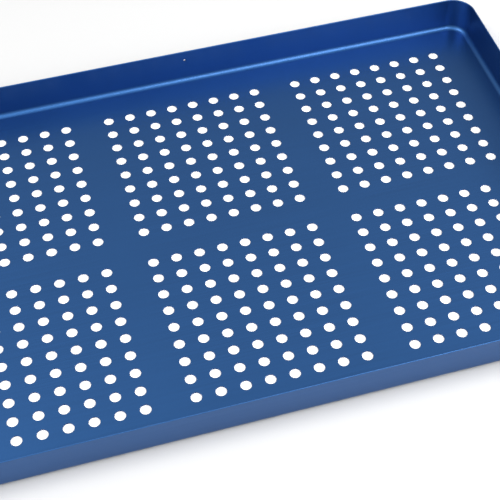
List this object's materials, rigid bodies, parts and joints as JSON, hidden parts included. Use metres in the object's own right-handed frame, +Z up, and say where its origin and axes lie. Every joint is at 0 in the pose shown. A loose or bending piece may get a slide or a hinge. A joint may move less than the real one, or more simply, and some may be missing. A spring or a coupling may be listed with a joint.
{
  "type": "baguette tray",
  "caption": "Shallow rectangular baking tray drawn from one perforated blue aluminium sheet, with upright walls, rounded corners and a plain rim.",
  "frame": {"origin": "centre of the tray's underside", "axes": "+X along the tray's length, +Y across its width towards the wall with the hanging hole, +Z up out of the tray"},
  "size_m": [0.6, 0.4, 0.035],
  "materials": {
    "blue_aluminium": "satin blue anodised"
  },
  "bodies": {
    "root": {"tray_pan": "blue_aluminium"}
  },
  "joints": []
}
